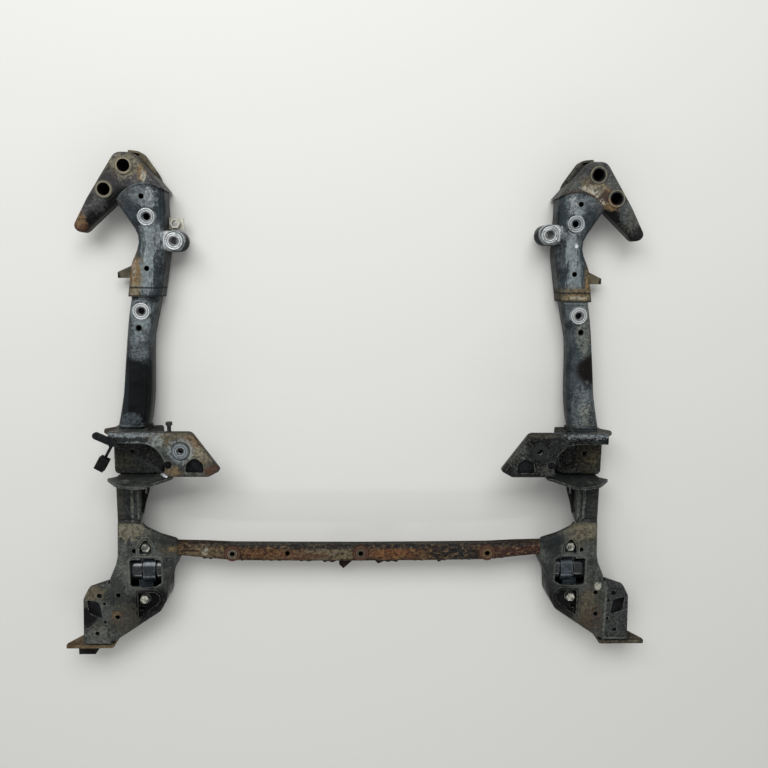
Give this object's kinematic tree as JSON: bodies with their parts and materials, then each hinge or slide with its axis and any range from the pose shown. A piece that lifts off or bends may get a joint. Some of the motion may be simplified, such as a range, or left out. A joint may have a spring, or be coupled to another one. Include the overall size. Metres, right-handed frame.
{
  "type": "front subframe",
  "caption": "Welded front subframe of a car: two curved side members with horns, control arm brackets and corner boxes, joined by a cross member.",
  "frame": {"origin": "middle of the box round the frame, on the ground it lies on", "axes": "+X to the right side of the view, +Y from the base plates to the horns, +Z out of the side that faces the road in the car"},
  "size_m": [0.94, 0.7868, 0.092],
  "materials": {
    "blue_grey_paint": "worn satin",
    "khaki_steel": "dusty",
    "dark_steel": "worn satin",
    "worn_grey_paint": "worn, dusty",
    "bare_steel": "bare",
    "zinc": "zinc plated",
    "rusty_steel": "rusty",
    "cast_mount": "glossy, oily",
    "rubber": "matt",
    "black_plastic": "matt"
  },
  "bodies": {
    "root": {"right_horn_front": "blue_grey_paint", "left_horn_front": "blue_grey_paint", "right_horn_back": "khaki_steel", "left_horn_back": "khaki_steel", "right_horn_sleeves": "dark_steel", "left_horn_sleeves": "dark_steel", "right_arm_front": "blue_grey_paint", "left_arm_front": "blue_grey_paint", "right_arm_back": "blue_grey_paint", "left_arm_back": "blue_grey_paint", "right_lug": "blue_grey_paint", "left_lug": "blue_grey_paint", "right_sleeves": "bare_steel", "left_sleeves": "bare_steel", "right_tube": "blue_grey_paint", "left_tube": "blue_grey_paint", "right_top_flange": "dark_steel", "left_top_flange": "dark_steel", "right_ear_flange": "dark_steel", "left_ear_flange": "dark_steel", "right_saddle": "dark_steel", "left_saddle": "dark_steel", "right_gusset": "worn_grey_paint", "left_gusset": "worn_grey_paint", "right_gusset_collar": "bare_steel", "left_gusset_collar": "bare_steel", "right_gusset_block": "rubber", "left_gusset_block": "rubber", "right_rail_front": "dark_steel", "left_rail_front": "dark_steel", "right_rail_back": "dark_steel", "left_rail_back": "dark_steel", "right_corner_front": "worn_grey_paint", "left_corner_front": "worn_grey_paint", "right_corner_back": "worn_grey_paint", "left_corner_back": "worn_grey_paint", "right_outer_box": "worn_grey_paint", "left_outer_box": "worn_grey_paint", "right_base_plate": "rusty_steel", "left_base_plate": "rusty_steel", "right_mount_carrier": "cast_mount", "left_mount_carrier": "cast_mount", "right_mount_rubber": "rubber", "left_mount_rubber": "rubber", "right_mount_core": "bare_steel", "left_mount_core": "bare_steel", "right_arm_tab": "dark_steel", "left_arm_tab": "dark_steel", "mount_bolts": "zinc", "cross_member": "rusty_steel", "cross_nuts": "rusty_steel", "cross_flaps": "rusty_steel", "left_nut_clip": "zinc", "left_stud": "dark_steel", "left_foot": "rubber", "left_lever": "black_plastic", "left_link": "black_plastic", "left_link_clip": "black_plastic"}
  },
  "joints": []
}
